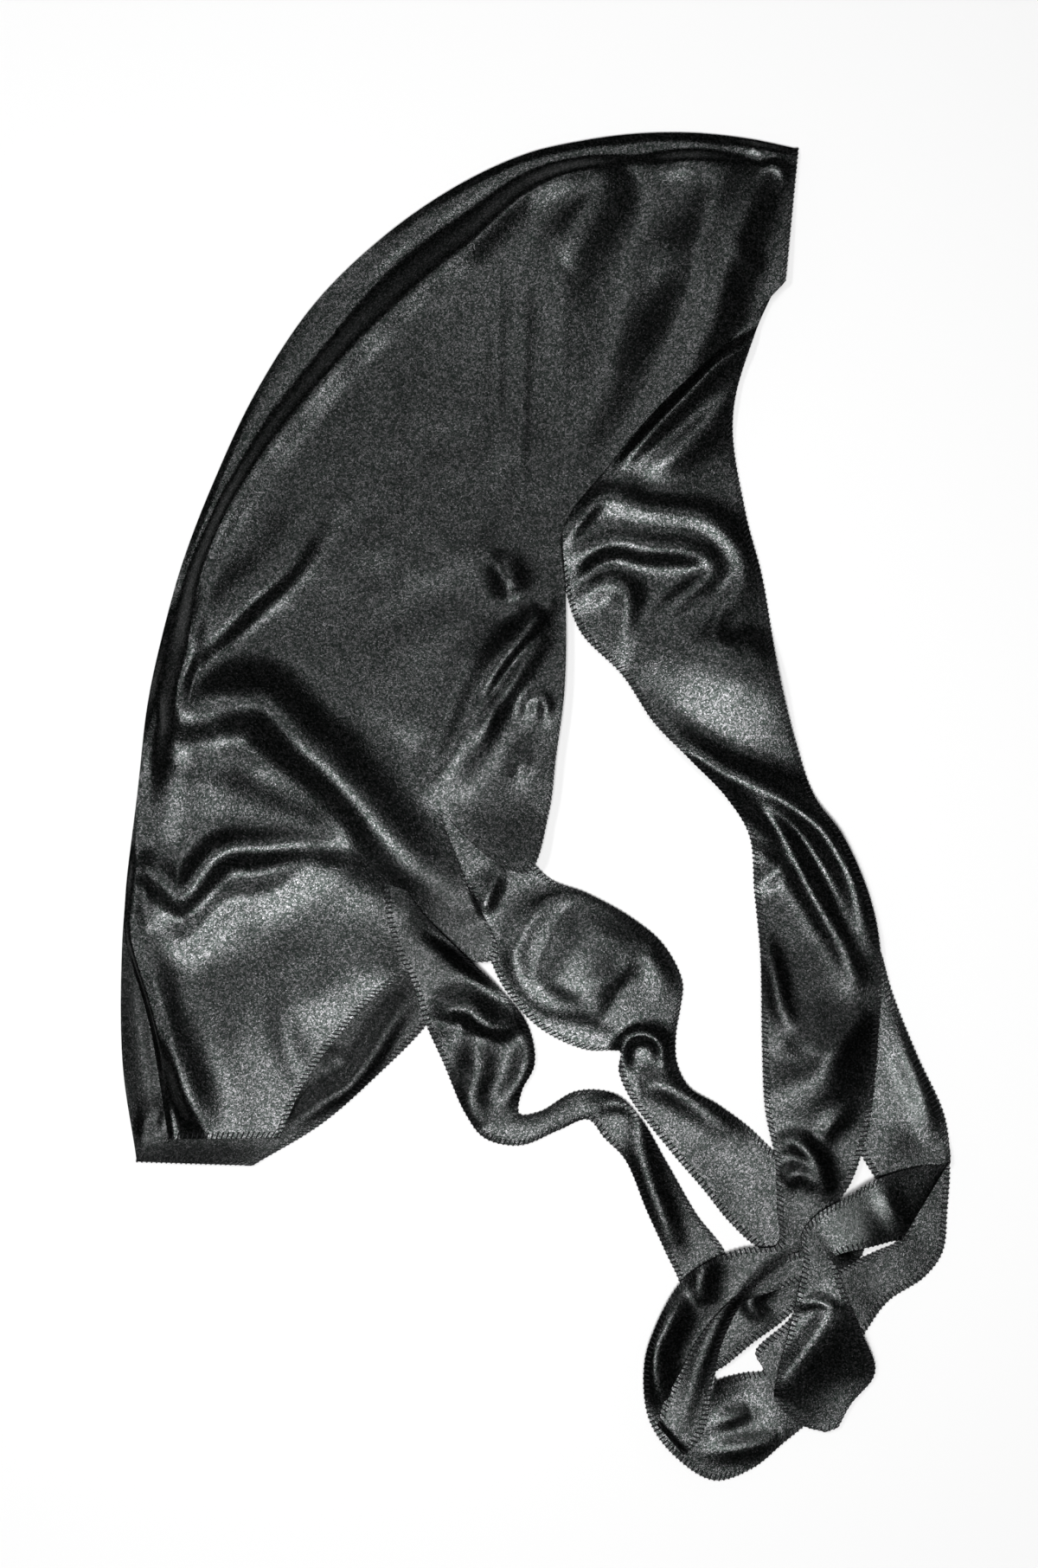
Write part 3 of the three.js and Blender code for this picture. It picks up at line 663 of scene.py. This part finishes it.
# Folds of the upper tie, each on the stretch between its first and last section.
# Columns: first and last section, then as for the panels' folds.
UPPER_TIE_FOLDS = [
    # gathers below the root
    (0, 4, ((102, 218), (93, 211), (85, 207), (73, 195), (57, 179), (45, 166), (40, 160)),
     4.5, 10, 3.5, 0.45, 0),
    (0, 4, ((46, 158), (57, 160), (67, 166), (77, 175), (86, 186), (93, 196)), 3.6, 8, 9, 1, 0),
    (0, 7, ((22, 122), (30, 131), (40, 131.5), (50, 128.5), (66, 127), (78, 124), (86, 117)),
     2.0, 6, 8, 1, 6),
    (0, 7, ((15, 119), (14.5, 124), (20, 133), (28, 142), (38, 142), (48, 138), (64, 136), (76, 134),
            (86, 127), (92, 119), (95, 110), (91, 97)), 3.4, 7, 4, 1, 0),
    (0, 7, ((20, 111), (22, 116), (27, 119), (38, 121), (50, 118.5), (66, 118), (77, 115), (83, 109)),
     4.2, 8, 4, 1, 0),
    (1, 7, ((83, 110), (76, 104), (68, 98), (58, 91)), 2.8, 5, 5, 1, 0),
    (1, 7, ((80, 99), (74, 90), (66, 82)), 1.0, 4, 3, 1, 0),
    (1, 7, ((21, 97), (26, 101), (33, 104.5), (40, 101), (42, 96), (41, 88), (40, 72)), 3.0, 5, 6, 1, 0),
    (2, 7, ((92, 99), (86, 93), (82, 83), (83, 76), (89, 74), (96, 77), (103, 70)), 1.8, 4, 4, 1, 0),
    (2, 8, ((45, 78), (82, 68), (112, 62), (145, 56)), 6.0, 16, 36, 1, 0),
    # twist of the strip
    (4, 12, ((50, 44), (58, 35), (65, 29), (75, 23), (85, 17), (95, 13), (106, 8), (119, 0), (130, -9),
             (138, -20), (145, -33), (149, -48), (152, -60)), 6.5, 9, 7, 1, 0),
    (6, 12, ((80, 12), (88, 8), (100, 2), (109, -7), (116, -18), (123, -32), (132, -48), (140, -62),
             (146, -78)), 4.5, 6, 6, 1, 0),
    (7, 11, ((98, -12), (107, -18), (113, -25), (107, -32), (101, -36)), 1.6, 4, 4, 1, 0),
    # creases above the crossing
    (9, 14, ((104, -60), (107, -70), (110, -82), (112, -92), (118, -103)), 2.2, 5, 4, 1, 0),
    (9, 15, ((118, -103), (125, -108), (133, -116), (131, -123), (122, -129), (106, -136)),
     4.0, 16, 11, 1, 0),
    (9, 15, ((154, -96), (146, -102), (139, -109), (134, -117)), 2.4, 7, 6, 1, 0),
    (11, 16, ((111, -157), (118, -154), (126, -160), (131, -170), (133, -178)), 2.4, 5, 5, 1, 0),
    (10, 16, ((132, -153), (136, -146), (145, -140)), 1.6, 4, 4, 1, 0),
    (12, 17, ((113, -173), (118, -169), (123, -169), (129, -176)), 2.4, 4, 6, 1, 0),
    # loop at the left and the strip below it
    (15, 20, ((80, -208), (75, -217), (77, -230)), 2.4, 7, 5, 1, 0),
    (14, 19, ((120, -206), (106, -217), (98, -229), (104, -236)), 1.8, 5, 4, 1, 0),
    (16, 23, ((68, -225), (63, -232), (59, -240), (55, -249), (54, -258), (55, -267), (58, -276)),
     4.2, 9, 4.5, 1, 0),
    (21, 27, ((80, -298), (96, -296), (112, -292)), 1.8, 5, 5, 1, 0),
    (21, 27, ((82, -285), (90, -282), (98, -280)), 1.4, 4, 4, 1, 0),
    # turned layer at the right and the free end
    (38, 44, ((164, -98), (171, -116), (179, -135), (182, -150)), 1.6, 5, 6, 1, 0),
    (43.5, 47, ((171, -198), (164, -186), (159, -176)), 1.6, 5, 5, 1, 0),
    (50, 56, ((138, -228), (133, -238), (127, -247), (120, -257), (114, -265), (110, -272)),
     3.0, 14, 6, 1, 0),
    (49, 53, ((121, -229), (130, -228), (138, -231)), 1.2, 3, 3, 1, 0),
]

# Painted shade and painted paleness. Columns: as for the panels' tone.
UPPER_TIE_PAINTED_SHADE_AND_SHEER = [
    # painted shade on the bundle, the run above the crossing, the turned layer and the free end
    (12, 57, 120, -225, 100, -0.8),
    (9, 14, 128, -95, 45, -0.8),
    (37, 44, 165, -120, 55, -0.6),
    (50, 57, 135, -250, 40, -0.3),
    # painted paleness where the lit table shows through one thin layer
    (43.5, 48, 150, -190, 20, 0.8),
    (21, 27, 95, -290, 18, 0.5),
    (38, 44, 176, -130, 22, 0.5),
]


def tie_grid(sections, folds, seed):
    """Points of a tie between its edges, with its folds and a slight unevenness."""
    along = TIE_STEPS * (len(sections) - 1)
    grid = laid_between(sections[:, 0:3], sections[:, 3:6], along, TIE_ACROSS)
    rows = np.linspace(0, len(sections) - 1, along + 1)
    across = np.linspace(0, 1, TIE_ACROSS + 1)[None, :]
    grid[:, :, 2] += through(TIE_SLACK * sections[:, 6:7], rows) * 4 * across * (1 - across)
    rise = np.zeros(grid.shape[:2])
    for first, last, *fold in folds:
        inside = (rows > first - 0.5) & (rows < last + 0.5)
        local = on_stretch(rows[inside], first, last)[:, None] * fold_rise(
            grid[inside, :, 0], grid[inside, :, 1], [fold])
        rise[inside] = (rise[inside] ** FOLD_BLEND + local ** FOLD_BLEND) ** (1 / FOLD_BLEND)
    rise += ripples(grid[:, :, 0], grid[:, :, 1], seed, *TIE_UNEVEN)
    grid[:, :, 2] += softened(rise)
    return grid


def tie_bars(grid):
    """Overlock stitches along both long edges and the free end of a tie."""
    bars = stitch_bars(grid, TIE_EDGE_SEWN, 1.0)
    bars += stitch_bars(grid[:, ::-1], TIE_EDGE_SEWN, 1.0)
    return bars + stitch_bars(grid.transpose(1, 0, 2)[:, ::-1], 0.0, 1.0)


upper_tie_grid = tie_grid(UPPER_TIE, UPPER_TIE_FOLDS, UPPER_TIE_SEED)
upper_tie = satin_sheet("upper_tie", upper_tie_grid, painted_shade_and_sheer(upper_tie_grid, UPPER_TIE, UPPER_TIE_PAINTED_SHADE_AND_SHEER))
upper_tie.data.materials.append(SATIN)
upper_tie_overlock = overlock("upper_tie_overlock", tie_bars(upper_tie_grid))
upper_tie_overlock.data.materials.append(THREAD_BLACK)
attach(upper_tie, "root")
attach(upper_tie_overlock, "root")
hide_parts("tie_upper")


# Lower tie
# The second strip, sewn to the lower panel's temple edge inside the crown.
# It comes out at the nape, curls once, wraps round the upper tie and comes back over its loop to the tail.
LOWER_TIE_SEED = 31

# One row a section from the root to the free end.
# Columns: as for the upper tie.
LOWER_TIE = np.array([
    (9, 133, 1.8, 97, 229, 1.8, 0),
    (-3, 134, 1.8, 72, 220, 1.8, 0),
    (-8, 122, 1.8, 20, 196, 1.8, 0),
    (-10, 108, 1.8, -38, 165, 1.8, 0),
    (-10, 90, 1.8, -62, 120, 1.8, 0),
    (-8, 65, 1.8, -66, 75, 1.8, 0),
    (-7, 35, 1.8, -64, 35, 1.8, 0),
    (-8, 8, 1.8, -58, 2, 1.8, 0),
    (-8, -14, 1.8, -45, -22, 1.8, 0),
    (4, -32, 1.8, -31, -40, 2.0, 0.6),
    (23, -40, 1.0, -25.5, -59, 2.0, 4),
    (43, -51, 0.7, -16, -82.5, 2.0, 6),
    (58, -63.5, 0.7, 0.5, -101.6, 1.2, 7),
    (67, -81, 0.7, 22, -112, 0.7, 5),
    (66, -93, 0.7, 34.5, -112.5, 0.7, 5),
    (64, -105, 0.7, 38.4, -113, 0.7, 5),
    (64.4, -118, 0.7, 37.8, -122, 0.7, 5),
    (70, -129.5, 0.7, 43, -134.5, 0.7, 3),
    (83, -137.5, 0.7, 62, -159.5, 0.7, 3),
    (97.5, -148, 0.7, 77, -177, 0.7, 1),
    (109, -159, 0.7, 89, -192, 0.7, 0),
    (123, -171, 0.7, 103, -204, 0.7, 0),
    (135, -184, 0.7, 119, -207, 0.7, 0),
    (146, -190, 0.9, 134, -206, 0.9, 0),
    (150, -198, 2.2, 139.5, -205, 2.2, 0),
    (150, -207, 3.9, 139.5, -206, 3.9, 0),
    (140, -213, 5.5, 135, -203, 5.5, 0),
    (118, -220, 5.5, 111, -209, 5.5, 0),
    (107, -224, 5.5, 97, -221, 5.5, 0),
    (95, -229, 5.0, 84, -233, 5.0, 0),
    (87, -243, 4.6, 74, -246, 4.6, 0),
    (81, -263, 4.0, 65, -263, 4.0, 0),
    (77, -287, 4.0, 57, -279, 4.0, 0),
    (69.5, -298, 3.8, 56.5, -284, 3.8, 0),
    (67.5, -299.5, 2.2, 55, -285.5, 2.2, 0),
    (69.5, -298, 1.0, 56.5, -284, 1.0, 0),
    (73, -287, 0.7, 58, -276, 0.7, 0),
    (78, -262, 0.7, 60, -258, 0.7, 0),
    (84, -244, 0.7, 66, -240, 0.7, 0),
    (88, -225, 0.7, 67, -224, 0.7, 0),
    (87, -207, 0.7, 59, -205, 0.7, 0),
    (73.5, -188.5, 0.7, 50.8, -187, 0.7, 3),
    (60, -165, 0.7, 40.6, -163, 0.7, 3),
    (47.5, -144, 0.7, 31, -153, 0.7, 4),
    (36, -133, 0.7, 23.5, -144.5, 0.7, 4),
    (18, -131.6, 0.7, 9.5, -149.5, 0.7, 4),
    (1, -141, 0.7, -8, -156.4, 0.7, 3),
    (-8.5, -142, 0.7, -24.5, -153, 0.7, 4),
    (-7.5, -131.5, 0.7, -33.4, -141.5, 0.7, 5),
    (-1.6, -119, 0.7, -43.6, -118, 0.7, 6),
    (-4.6, -101, 0.9, -52, -99, 3.2, 4),
    (-17.5, -84, 2.0, -58, -80, 4.4, 3),
    (-33, -69, 5.8, -66, -63, 5.8, 0.5),
    (-53, -49, 6.6, -70, -46, 6.6, 0),
    (-64, -33, 5, -71, -33, 5, 0),
], float)

# Folds of the lower tie.
# Columns: as for the upper tie's folds.
LOWER_TIE_FOLDS = [
    # puffed lobe below the nape, with a soft rim
    (8, 13, ((-18, -32), (-23, -41), (-25, -49)), 2.2, 4, 5, 1, 0),
    (9.5, 15, ((6, -62), (22, -70), (40, -80)), 3.5, 9, 9, 1, 14),
    (9.5, 15, ((60, -82), (53, -66), (38, -51), (18, -42), (3, -45), (-8, -60), (-11, -70), (-5, -84),
               (5, -92), (24, -96), (37, -102)), 1.4, 5, 4, 1, 0),
    (10, 15, ((20, -81), (31, -80), (39, -77), (43, -72), (50, -69), (55, -74)), 1.4, 4, 5, 1, 0),
    # curl
    (13.5, 18, ((40, -121), (39, -113), (43, -106), (51, -105), (57, -110), (58, -118)), 3.0, 4, 4, 1, 0),
    (16, 22, ((47, -129), (58, -128), (68, -133), (91, -151)), 2.4, 6, 7, 1, 0),
    # over the loop
    (26, 33, ((113, -203), (91, -223), (77, -251), (67, -283)), 1.4, 5, 5, 1, 0),
    # strand that comes back and turns at the tail
    (38, 44, ((46, -150), (50, -168), (57, -187), (64, -205)), 2.2, 6, 6, 1, 0),
    (40, 45, ((28, -138), (38, -136), (46, -141), (49, -152)), 2.0, 4, 5, 1, 0),
    (46, 54, ((-42, -99), (-40, -94), (-33, -93), (-26, -98), (-20, -101), (-12, -100), (-7, -95)),
     3.6, 8, 6, 1, 0),
    (46, 53, ((-29, -106), (-28, -120), (-31, -134), (-26, -148)), 2.6, 8, 7, 1, 0),
    (46, 53, ((-7, -102), (-4, -113), (-8, -126), (-18, -138)), 2.0, 5, 6, 1, 0),
    (48, 54, ((-53, -54), (-33, -68), (-12, -89)), 2.4, 6, 5, 1, 0),
]

# Painted shade and painted paleness. Columns: as for the panels' tone.
LOWER_TIE_PAINTED_SHADE_AND_SHEER = [
    # painted shade below 0; the lobe's patch above 0 is painted paleness of the lit table seen through
    (17, 46, 90, -220, 100, -0.8),
    (49, 54, -48, -62, 32, -0.9),
    (43, 50, -10, -130, 45, -0.6),
    (9, 15, 20, -72, 26, 0.15),
    (17.5, 22, 90, -165, 40, -0.5),
]

lower_tie_grid = tie_grid(LOWER_TIE, LOWER_TIE_FOLDS, LOWER_TIE_SEED)
lower_tie = satin_sheet("lower_tie", lower_tie_grid, painted_shade_and_sheer(lower_tie_grid, LOWER_TIE, LOWER_TIE_PAINTED_SHADE_AND_SHEER))
lower_tie.data.materials.append(SATIN)
lower_tie_overlock = overlock("lower_tie_overlock", tie_bars(lower_tie_grid))
lower_tie_overlock.data.materials.append(THREAD_BLACK)
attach(lower_tie, "root")
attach(lower_tie_overlock, "root")
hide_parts("tie_lower")


# Table, light and camera
# The durag lies on a plain white table under a soft box, a small lamp and two panels, in a pale-walled room.
# The camera looks straight down, with the forehead at the top of the frame.
TABLE_SIDE = 8
TABLE_Z = -0.0003           # just below the cloth
TABLE_SPAN = (-0.4, 0.4)    # along y, from the darker end near the main soft box to the paler far end
# painted counter-shade: the table's colour is darker under the main soft box so that its light looks even
TABLE_COUNTERSHADE_TONES = (0.605, 0.695)
TABLE_ROUGHNESS = 0.9
TABLE_SPECULAR = 0.1
bpy.ops.object.select_all(action='DESELECT')
bpy.ops.mesh.primitive_plane_add(size=TABLE_SIDE, location=(0, 0, TABLE_Z))
table = bpy.context.object
table.name = "table"
white = bpy.data.materials.new("white_table")
white.use_nodes = True
white_nodes, white_links = white.node_tree.nodes, white.node_tree.links
white_shader = white_nodes['Principled BSDF']
table_place = white_nodes.new('ShaderNodeTexCoord')
table_axes = white_nodes.new('ShaderNodeSeparateXYZ')
white_links.new(table_place.outputs['Object'], table_axes.inputs['Vector'])
# painted counter-shade that evens out the soft box's light on the table
countershade = white_nodes.new('ShaderNodeMapRange')
countershade.inputs['From Min'].default_value = TABLE_SPAN[0]
countershade.inputs['From Max'].default_value = TABLE_SPAN[1]
countershade.inputs['To Min'].default_value = TABLE_COUNTERSHADE_TONES[0]
countershade.inputs['To Max'].default_value = TABLE_COUNTERSHADE_TONES[1]
white_links.new(table_axes.outputs['Y'], countershade.inputs['Value'])
white_links.new(countershade.outputs['Result'], white_shader.inputs['Base Color'])
white_shader.inputs['Roughness'].default_value = TABLE_ROUGHNESS
white_shader.inputs['Specular IOR Level'].default_value = TABLE_SPECULAR
table.data.materials.append(white)

# Rectangular lamps that face the middle of the table.
# Columns: name, place, width, depth, radiance.
LAMPS = [
    ("box_main", (-0.05, -0.46, 1.9), 0.5, 0.5, 58.0),
    ("box_left", (-0.8, 0.25, 1.6), 0.2, 0.2, 60.0),
    ("panel_far", (0.12, 0.78, 2.5), 0.5, 0.6, 12.0),
    ("panel_overhead", (0.0, 0.1, 2.5), 1.3, 1.3, 0.25),
]
for lamp_name, lamp_place, width, depth, radiance in LAMPS:
    lamp = bpy.data.lights.new(lamp_name, 'AREA')
    lamp.shape = 'RECTANGLE'
    lamp.size = width
    lamp.size_y = depth
    lamp.energy = radiance * math.pi * width * depth
    holder = bpy.data.objects.new(lamp_name, lamp)
    bpy.context.scene.collection.objects.link(holder)
    holder.location = lamp_place
    holder.rotation_euler = holder.location.to_track_quat('Z', 'Y').to_euler()

WALL_TOP = (0.2, 0.4)       # upward share of a direction where the walls end and the ceiling begins
WALL_GLOW = 0.4
CEILING_GLOW = 0.03
world = bpy.data.worlds.new("studio")
bpy.context.scene.world = world
world.use_nodes = True
world_nodes, world_links = world.node_tree.nodes, world.node_tree.links
room = world_nodes['Background']
room.inputs['Color'].default_value = (1, 1, 1, 1)
heading = world_nodes.new('ShaderNodeTexCoord')
heading_axes = world_nodes.new('ShaderNodeSeparateXYZ')
world_links.new(heading.outputs['Generated'], heading_axes.inputs['Vector'])
walls = world_nodes.new('ShaderNodeMapRange')
walls.inputs['From Min'].default_value = WALL_TOP[0]
walls.inputs['From Max'].default_value = WALL_TOP[1]
walls.inputs['To Min'].default_value = WALL_GLOW
walls.inputs['To Max'].default_value = CEILING_GLOW
world_links.new(heading_axes.outputs['Z'], walls.inputs['Value'])
world_links.new(walls.outputs['Result'], room.inputs['Strength'])
bpy.context.scene.view_settings.view_transform = 'Standard'

FRAME_HEIGHT = 0.7248       # table that the frame's long side covers
FRAME_CENTRE = (-0.0076, 0.0103)
FRAME_LEVEL = 0.004         # height above the table at which it covers that much
LENS = 85.0
SENSOR = 36.0
camera_data = bpy.data.cameras.new("camera")
camera_data.lens = LENS
camera_data.sensor_width = SENSOR
camera = bpy.data.objects.new("camera", camera_data)
bpy.context.scene.collection.objects.link(camera)
camera.location = (*FRAME_CENTRE, FRAME_HEIGHT * LENS / SENSOR + FRAME_LEVEL)
bpy.context.scene.camera = camera
